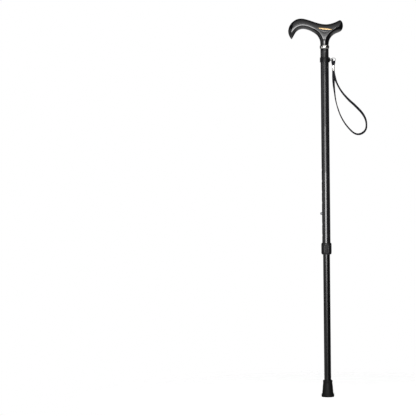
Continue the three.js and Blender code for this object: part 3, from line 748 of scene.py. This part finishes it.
def make_band():
    """A rubber band with rounded edges, doubled where its slotted end lies over it."""
    half, inner, outer = 5.4, 9.75, 10.9
    section = rounded([(inner, -half), (outer, -half), (outer, half), (inner, half)], 0.35, closed=True)
    ring = turned([(r, BAND_Z + z) for r, z in section], 128)
    lap = arc_block(10.6, 12.1, half, math.radians(38))
    keeper = arc_block(12.0, 12.55, 3.4, math.radians(14), 10, 0.2)
    add_piece("band", *join(ring, lap, keeper), "band", "band_rubber", "strap_band", sharp=40)
    add_piece("band_tongue", *make_tongue(), "band", "band_rubber", sharp=40)
    for side in (-1, 1):
        for line in (-1, 1):
            add_rib(f"tongue_line_{'front' if side < 0 else 'back'}_{'low' if line < 0 else 'high'}", side, line)


def add_rib(name, side, line):
    """A thin raised line along the tongue, from the band to the eyelet."""
    path = np.array([(x, side * 0.3, BAND_Z + line * 1.75) for x in np.linspace(11.6, 12.7, 6)])
    across = np.tile(np.array([0, 0, 1.0]), (len(path), 1))
    rings = tape_rings(path, across, 0.28, 0.16, 10)
    add_piece(name, *lofted(rings), "band", "band_rubber", sharp=60)


# ---------------------------------------------------------------- handle
# The handle's side outline, above the collar, from the neck's left side round to its right side.
HANDLE_OUTLINE = [
    (-9.5, -32), (-9.5, -14), (-9.5, 0), (-9.6, 8), (-10.3, 14.6), (-13.0, 21.4), (-17.7, 28.1),
    (-26.6, 34.8), (-37.5, 40.1), (-48.9, 42.4), (-58.5, 40.5), (-65.0, 35.4), (-70.0, 27.7),
    (-74.2, 20.4), (-75.8, 19.2), (-77.6, 21.6), (-81.4, 28.9), (-83.0, 37.8), (-81.2, 47.0),
    (-76.6, 55.2), (-69.5, 61.6), (-62.5, 65.2), (-54.5, 66.5), (-46.0, 65.6), (-33.5, 61.9),
    (-21.2, 57.5), (-8.5, 53.8), (3.8, 52.2), (14.2, 53.3), (25.5, 56.8), (33.0, 60.3),
    (36.4, 61.3), (39.0, 59.9), (41.7, 55.2), (42.8, 49.0), (41.9, 42.4), (39.3, 37.6),
    (35.0, 34.4), (26.5, 31.1), (19.6, 27.0), (14.9, 22.0), (12.0, 16.8), (10.3, 11.0),
    (9.6, 5.5), (9.5, 0), (9.5, -14), (9.5, -32),
]
HANDLE_FULLNESS = 13.6  # the half thickness that the widest places near


def dense_outline(step=0.4, blur_mm=0.9):
    """The outline as an even, softly rounded closed polyline."""
    points = HANDLE_OUTLINE + [HANDLE_OUTLINE[0]]
    line = smooth_path([(x, z, 0) for x, z in points], step)[:-1, :2]
    around = np.vstack([line, line[:1]])
    length = distances(around)[-1]
    line = evenly(around, np.linspace(0, length, int(length / step), endpoint=False))
    reach = int(4 * blur_mm / step)
    weights = np.exp(-0.5 * (np.arange(-reach, reach + 1) * step / blur_mm) ** 2)
    weights /= weights.sum()
    return sum(w * np.roll(line, k, axis=0) for w, k in zip(weights, range(-reach, reach + 1)))


class Inflated:
    """A flat outline blown up into a rounded body.

    u has a Laplacian of -1 inside the outline and is 0 on it. Across a straight bar sqrt(2u) is a
    circle, so sqrt(2u) is used as the half thickness, held back where the outline is widest.
    u is a parabola plus logarithms centred outside the outline, so it is smooth everywhere."""

    def __init__(self, line, stand_off=6.0):
        ahead = np.roll(line, -1, axis=0) - np.roll(line, 1, axis=0)
        ahead /= np.linalg.norm(ahead, axis=1, keepdims=True)
        area = 0.5 * np.sum(line[:, 0] * np.roll(line[:, 1], -1) - np.roll(line[:, 0], -1) * line[:, 1])
        outward = np.stack([ahead[:, 1], -ahead[:, 0]], axis=1) * np.sign(area)
        self.line, self.outward = line, outward
        self.sources = (line + outward * stand_off)[::6]
        self.middle = line.mean(axis=0)
        terms = np.hstack([self._logs(line), np.ones((len(line), 1))])
        target = np.sum((line - self.middle) ** 2, axis=1) / 4
        self.weights = np.linalg.lstsq(terms, target, rcond=1e-12)[0]

    def _logs(self, points):
        """The logarithm of each point's distance from each source."""
        gap = points[:, None, :] - self.sources[None, :, :]
        return 0.5 * np.log(np.sum(gap**2, axis=2))

    def squared_thickness(self, points):
        """The square of the half thickness at (x, z) points; negative outside the outline."""
        u = self._logs(points) @ self.weights[:-1] + self.weights[-1]
        u -= np.sum((points - self.middle) ** 2, axis=1) / 4
        neck = np.clip((18 - points[:, 1]) / 14, 0, 1) ** 2
        full = (HANDLE_FULLNESS + 30 * neck) ** 2
        return 2 * u / (1 + np.clip(2 * u / full, 0, None) ** 3) ** (1 / 3)

    def distance_outside(self, points):
        """How far each (x, z) point lies outside the outline, negative inside it."""
        nearest = [np.argmin(np.sum((self.line - p) ** 2, axis=1)) for p in points]
        return np.sum((points - self.line[nearest]) * self.outward[nearest], axis=1)

    def half_thickness(self, points):
        """How far the body's surface stands from its middle plane at (x, z) points."""
        return np.sqrt(np.maximum(self.squared_thickness(np.asarray(points, float)), 0))

    def slope(self, points, step=0.01):
        """How fast the squared thickness changes along x and along z."""
        columns = []
        for offset in ((step, 0), (0, step)):
            ahead, behind = (self.squared_thickness(points + sign * np.array(offset)) for sign in (1, -1))
            columns.append((ahead - behind) / (2 * step))
        return np.stack(columns, axis=1)


def surface_net(values, origin, step):
    """Quads over the zero surface of a grid of values, negative inside."""
    inside = values < 0
    shape = tuple(n - 1 for n in values.shape)
    total, weight = np.zeros(shape + (3,)), np.zeros(shape)
    corners = [np.array(c) for c in np.ndindex(2, 2, 2)]

    def at(array, corner):
        return array[tuple(slice(c, c + n) for c, n in zip(corner, shape))]

    for a in corners:
        for axis in range(3):
            if a[axis]:
                continue
            b = a + np.eye(3, dtype=int)[axis]
            va, vb = at(values, a), at(values, b)
            crossed = at(inside, a) != at(inside, b)
            t = np.where(crossed, va / np.where(crossed, va - vb, 1), 0)
            total += np.where(crossed[..., None], a + t[..., None] * (b - a), 0)
            weight += crossed
    used = weight > 0
    index = np.full(shape, -1)
    index[used] = np.arange(used.sum())
    vertices = (np.argwhere(used) + total[used] / weight[used][:, None]) * step + origin
    faces = []
    for axis in range(3):
        other = [k for k in range(3) if k != axis]
        low = [slice(1, -1)] * 3
        low[axis] = slice(0, -1)
        high = list(low)
        high[axis] = slice(1, None)
        starts = inside[tuple(low)]
        flips = np.argwhere(starts != inside[tuple(high)])
        offsets = np.array([1, 1, 1])
        offsets[axis] = 0
        cells = flips + offsets
        step_a, step_b = np.eye(3, dtype=int)[other[0]], np.eye(3, dtype=int)[other[1]]
        ring = [cells, cells - step_a, cells - step_a - step_b, cells - step_b]
        quads = np.stack([index[tuple(c.T)] for c in ring], axis=1)
        inward = starts[tuple(flips.T)] ^ (axis == 1)
        quads[~inward] = quads[~inward][:, ::-1]
        faces.append(quads)
    return vertices, np.vstack(faces)


def make_handle():
    """The derby grip and its neck as one smooth body, cut flat inside the collar."""
    body = Inflated(dense_outline())
    step, outside_limit, outside_slope = 0.85, 1.5, 9
    xs, ys, zs = (np.arange(a, b, step) for a, b in ((-86.1, 46.0), (-16.1, 16.2), (-4.0, 70.0)))
    flat = np.stack(np.meshgrid(xs, zs, indexing="ij"), axis=-1).reshape(-1, 2)
    outside = body.distance_outside(flat)
    squared = np.where(outside > outside_limit, -outside_slope * outside, body.squared_thickness(flat))
    squared = squared.reshape(len(xs), 1, len(zs))
    values = ys[None, :, None] ** 2 - squared
    vertices, faces = surface_net(values, np.array([xs[0], ys[0], zs[0]]), step)
    # Each point of the net then slides along the gradient onto the exact surface.
    for _ in range(4):
        plan = vertices[:, (0, 2)]
        slope = body.slope(plan)
        gradient = np.stack([-slope[:, 0], 2 * vertices[:, 1], -slope[:, 1]], axis=1)
        error = vertices[:, 1] ** 2 - body.squared_thickness(plan)
        reach = np.maximum(np.sum(gradient**2, axis=1), 1e-6)
        vertices -= gradient * np.clip(error / reach, -0.05, 0.05)[:, None]
    mesh = new_mesh("derby_grip", vertices + [0, 0, COLLAR_Z], faces)
    cut_neck(mesh, (COLLAR_Z + 0.35) * MM)
    places = np.array([v.co for v in mesh.vertices]) / MM - [0, 0, COLLAR_Z]
    slope = body.slope(places[:, (0, 2)])
    normals = np.stack([-slope[:, 0], 2 * places[:, 1], -slope[:, 1]], axis=1)
    normals /= np.linalg.norm(normals, axis=1, keepdims=True)
    finish_piece("derby_grip", mesh, "upper_shaft", "handle_lacquer", "handle", sharp=60, normals=normals.tolist())
    return body


def cut_neck(mesh, height):
    """Cuts the mesh flat at a height and closes it there."""
    work = bmesh.new()
    work.from_mesh(mesh)
    everything = work.verts[:] + work.edges[:] + work.faces[:]
    bmesh.ops.bisect_plane(work, geom=everything, plane_co=(0, 0, height), plane_no=(0, 0, 1), clear_inner=True)
    bmesh.ops.holes_fill(work, edges=[e for e in work.edges if e.is_boundary], sides=0)
    work.to_mesh(mesh)
    work.free()
    face_outwards(mesh)


def make_inlay(body):
    """A slim gilt bar with pointed ends, let into the front of the grip."""
    length, half_width, proud, deep = 33.0, 1.45, 0.18, 0.9
    centre, tilt = np.array([1.5, 40.8]), math.radians(-7)
    along = np.array([math.cos(tilt), math.sin(tilt)])
    up = np.array([-math.sin(tilt), math.cos(tilt)])
    rings = []
    for s in np.linspace(-1, 1, 49):
        width = half_width * max(1 - abs(s) ** 4, 0.015)
        spread = [-1, -0.8, -0.4, 0, 0.4, 0.8, 1]
        plan = np.array([centre + along * s * length / 2 + up * width * w for w in spread])
        face = -body.half_thickness(plan)
        lift = proud * np.sqrt(np.maximum(1 - np.array(spread) ** 2, 0)) * min(1, 2 * width / half_width)
        front = [(x, y - h, COLLAR_Z + z) for (x, z), y, h in zip(plan, face, lift)]
        back = [(x, y + deep, COLLAR_Z + z) for (x, z), y in zip(plan[::-1], face[::-1])]
        rings.append(front + back)
    add_piece("gilt_inlay", *lofted(rings), "upper_shaft", "handle_lacquer", material="gilt", sharp=50)


# ---------------------------------------------------------------- shaft
def make_collar():
    """A chrome ring with a swelling middle and a thin lip at each end."""
    low, high = COLLAR_Z - 3.5, COLLAR_Z + 3.5
    barrel = [(10.1 + 0.9 * math.cos(t), COLLAR_Z + 3.4 * math.sin(t)) for t in np.linspace(-1.3, 1.3, 17)]
    profile = [(9.75, low), (10.1, low), *barrel, (10.1, high), (9.75, high)]
    add_piece("collar", *turned(profile, 128), "upper_shaft", "polished_chrome", "handle_collar", sharp=40)


def split_long(profile, longest=12):
    """A closed profile with its long straight runs divided. A long sliver of a face is shaded badly."""
    out = []
    for a, b in zip(profile, profile[1:] + profile[:1]):
        parts = max(1, int(np.linalg.norm(b - a) / longest))
        out += [a + (b - a) * k / parts for k in range(parts)]
    return out


def drilled_tube(name, inner, outer, low, high, holes, body, slot, node):
    """A tube with rounded ends and a row of holes through its -X wall."""
    profile = rounded([(inner, low), (outer, low), (outer, high), (inner, high)], 0.3, 2, closed=True)
    vertices, faces = turned(split_long(profile), 128)
    holder = show(name, new_mesh(name, vertices, faces))
    drills = bmesh.new()
    for z in holes:
        place = Matrix.Translation((-outer * MM, 0, z * MM)) @ Matrix.Rotation(math.pi / 2, 4, "Y")
        bmesh.ops.create_cone(drills, cap_ends=True, segments=40, radius1=HOLE_RADIUS * MM,
                              radius2=HOLE_RADIUS * MM, depth=DRILL_DEPTH * MM, matrix=place)
    drill_mesh = bpy.data.meshes.new("drills")
    drills.to_mesh(drill_mesh)
    drills.free()
    drill = show("drills", drill_mesh)
    cut = holder.modifiers.new("holes", "BOOLEAN")
    cut.operation = "DIFFERENCE"
    cut.solver = "EXACT"
    cut.object = drill
    bpy.context.view_layer.update()
    made = bpy.data.meshes.new_from_object(holder.evaluated_get(bpy.context.evaluated_depsgraph_get()))
    for helper in (holder, drill):
        bpy.data.objects.remove(helper)
    made.name = name
    finish_piece(name, made, body, slot, node, sharp=30)


def make_tubes():
    """The carbon tube with its row of holes, and the inner tube with the one the button sits in."""
    low, high = heights("upper_tube")
    holes = [BUTTON_Z + HOLE_PITCH * k for k in range(-2, 5)]  # two below the button, four above it
    drilled_tube("carbon_tube", UPPER_BORE, TUBE_RADIUS, low, high, holes, "upper_shaft", "carbon_weave", "upper_tube")
    low, high = heights("lower_tube")
    drilled_tube("inner_tube", LOWER_BORE, LOWER_RADIUS, low, high, [BUTTON_Z], "lower_shaft", "anodised_tube",
                 "lower_tube")


def make_lock_nut():
    """The clamp nut: rounded shoulders, and a band of ribs that die out before them."""
    low, high = heights("lock_nut")
    radius, ribs, rib_depth = 11.8, 18, 0.55
    corners = [
        (8.4, low), (10.2, low), (11.3, low + 1.6), (radius, low + 4.2), (radius, high - 4.2),
        (11.6, high - 2.2), (11.1, high), (10.8, high), (10.8, low + 1), (8.4, low + 1),
    ]
    profile = split_long(rounded(corners, 0.8, 4, closed=True), 1.2)

    def ribbed(r, z, angle):
        if r < 11.2:
            return r
        fade = np.clip((z - low - 3.4) / 1.4, 0, 1) * np.clip((high - 3.6 - z) / 1.4, 0, 1)
        groove = (0.5 - 0.5 * math.cos(ribs * angle)) ** 2
        return r - rib_depth * fade * groove

    add_piece("clamp_nut", *turned(profile, 216, ribbed), "nut", "black_nylon", "lock_nut", sharp=50)


def make_snap_button():
    """A domed button on the flange that its spring pushes."""
    low, high = span("snap_button")
    reach, back, flange_radius, rim = -low[0], -high[0], high[1], 0.8
    radius, rise = 2.9, 2.1
    quarter = np.linspace(0, math.pi / 2, 10)[:-1]
    dome = [(radius * math.cos(a), reach - rise + rise * math.sin(a)) for a in quarter]
    flange = [(0, back), (flange_radius, back), (flange_radius, back + rim), (radius, back + rim)]
    profile = [*flange, *dome, (0, reach)]
    vertices, faces = turned(rounded(profile, 0.12, 2), 48)
    turn = Matrix.Rotation(-math.pi / 2, 3, "Y")
    vertices = np.array([turn @ Vector(v) for v in vertices]) + [0, 0, BUTTON_Z]
    add_piece("domed_button", vertices, faces, "button", "button_steel", "snap_button", sharp=40)


def make_button_spring():
    """The strip spring: the arm that the button presses, baked in place on no body, and the bend and back arm, which
    ride on the lower shaft.
    """
    low, high = span("button_spring")
    half_width, half_thickness = 2.5, 0.25
    radius = 2.6 - half_thickness
    bend_z = low[2] + 2.6
    arm_top, arm_bottom = (low[0] + half_thickness, 0, high[2] - 6), (-radius, 0, bend_z)
    arm = np.array([arm_top, arm_bottom])
    length = distances(arm)[-1]
    arm = evenly(arm, np.linspace(0, length, int(length / 1.5)))
    half_turn = np.linspace(0, math.pi, 13)
    back = [(-radius * math.cos(a), 0, bend_z - radius * math.sin(a)) for a in half_turn]
    back = np.array(back + [(high[0] - half_thickness, 0, high[2])])

    def strip(path):
        across = np.tile(np.array([0, 1.0, 0]), (len(path), 1))
        return lofted(tape_rings(path, across, half_width, half_thickness, 16))

    piece = add_piece("spring_arm", *strip(arm), None, "zinc_steel", "button_spring", sharp=40)
    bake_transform(piece)
    add_piece("spring_back", *strip(back), "lower_shaft", "zinc_steel", sharp=40)


def make_rubber_tip():
    """The tip: a beaded mouth, a waist, a flange with two rings, and a sole with tread grooves."""
    top = heights("rubber_tip")[1]
    bore, floor = LOWER_RADIUS + 0.2, 7
    tread = [(5.5, 0), (5.5, 1.3), (7.2, 1.3), (7.2, 0), (9.0, 0), (9.0, 1.3), (10.7, 1.3), (10.7, 0)]
    side = [
        (13.9, 0), (14.4, 0.9), (14.7, 2.4), (14.7, 3.6), (14.35, 4.1), (14.7, 4.6), (14.6, 6.2),
        (13.7, 7.4), (12.95, 8.6), (12.5, 13), (11.9, 20), (11.3, 26), (10.6, 32), (10.5, 33.3),
        (10.95, 34.2), (10.95, top - 0.9), (10.5, top), (bore, top), (bore, floor), (0, floor),
    ]
    profile = rounded([(0, 0), *tread, *side], 0.5, 3)
    add_piece("tip", *turned(profile, 96), "lower_shaft", "black_rubber", "rubber_tip", sharp=40)


# ---------------------------------------------------------------- pieces carried over from the CAD
def dress_carried_over():
    """Gives every CAD node its own procedural finish, the ones that stay hidden inside too."""
    slots = {p["node"]: p["material_slot"] for p in frame["record"]["subparts"]}
    for node, piece in frame["nodes"].items():
        shade(piece.data, slots[node], 35)


make_camera()
make_wrist_loop()
make_studio()
make_strap_eye()
make_ferrule()
make_ring()
make_band()
grip = make_handle()
make_inlay(grip)
make_collar()
make_tubes()
make_lock_nut()
make_snap_button()
make_button_spring()
make_rubber_tip()
dress_carried_over()
